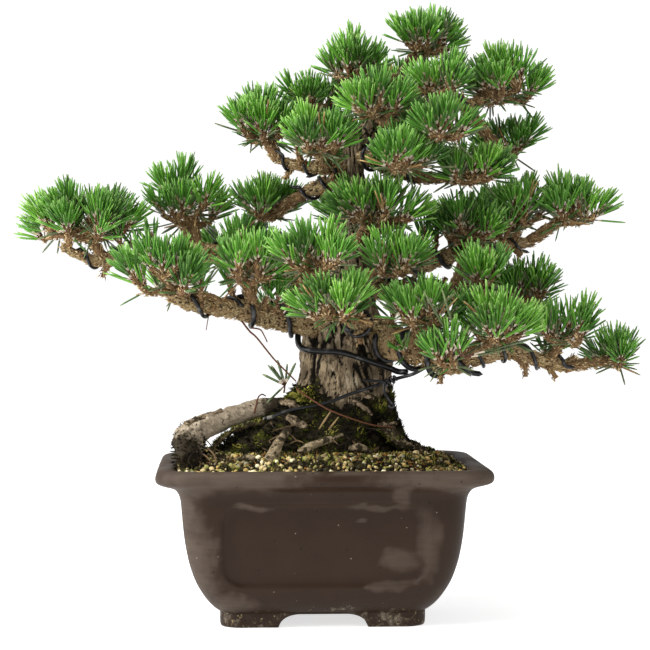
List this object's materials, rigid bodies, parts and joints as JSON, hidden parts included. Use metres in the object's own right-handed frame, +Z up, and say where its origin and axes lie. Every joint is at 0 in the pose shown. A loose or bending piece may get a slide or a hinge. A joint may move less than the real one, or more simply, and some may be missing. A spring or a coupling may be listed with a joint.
{
  "type": "potted pine bonsai",
  "caption": "Small pine bonsai in a flared rectangular clay pot: stout trunk, one arching surface root, wired tapering boughs and spreading pads of short needles.",
  "frame": {"origin": "on the surface the pot's feet stand on, below the centre of the whole plant's outer box", "axes": "+X to the viewer's right along the pot's long side, +Y away from the viewer, +Z up"},
  "size_m": [0.3876, 0.2214, 0.3738],
  "materials": {
    "pot_clay": "satin",
    "soil": "matte",
    "bark": "matte",
    "root_bark": "matte",
    "needles": "satin",
    "wire": "satin"
  },
  "bodies": {
    "root": {"pot": "pot_clay", "soil": "soil", "trunk": "bark", "root_arching": "root_bark", "bough_left_low": "bark", "bough_far_left": "bark", "bough_far_left_tip": "bark", "bough_right_low": "bark", "bough_right_middle": "bark", "bough_right_tip": "bark", "bough_centre_low": "bark", "bough_centre_left": "bark", "bough_right_middle_tier": "bark", "bough_right_middle_tip": "bark", "bough_right_back": "bark", "bough_left_back": "bark", "bough_middle_left": "bark", "bough_upper_left": "bark", "bough_upper_left_tip": "bark", "bough_upper_right_low": "bark", "bough_upper_right": "bark", "pad_far_left": "needles", "pad_left_middle": "needles", "pad_left_low_tip": "needles", "pad_left_low_inner": "needles", "pad_left_back": "needles", "pad_centre_left": "needles", "pad_centre_low": "needles", "pad_centre_right": "needles", "pad_centre_right_low": "needles", "pad_front_right_low": "needles", "pad_middle_centre": "needles", "pad_middle_left": "needles", "pad_middle_back": "needles", "pad_right_middle_inner": "needles", "pad_right_middle": "needles", "pad_right_middle_tip": "needles", "pad_right_middle_back": "needles", "pad_right_low_inner": "needles", "pad_right_low_upper": "needles", "pad_right_low_front": "needles", "pad_right_low_outer": "needles", "pad_right_low_tip": "needles", "pad_right_low_back": "needles", "pad_apex": "needles", "pad_top_left": "needles", "pad_top_front": "needles", "pad_top_right": "needles", "pad_upper_front": "needles", "pad_upper_front_low": "needles", "pad_upper_right_low": "needles", "pad_upper_right": "needles", "pad_upper_right_under": "needles", "pad_upper_left": "needles", "pad_upper_left_back": "needles", "pad_upper_left_front": "needles", "pad_top_back": "needles", "pad_upper_back": "needles", "wire_trunk": "wire", "wire_guy": "wire"}
  },
  "joints": []
}
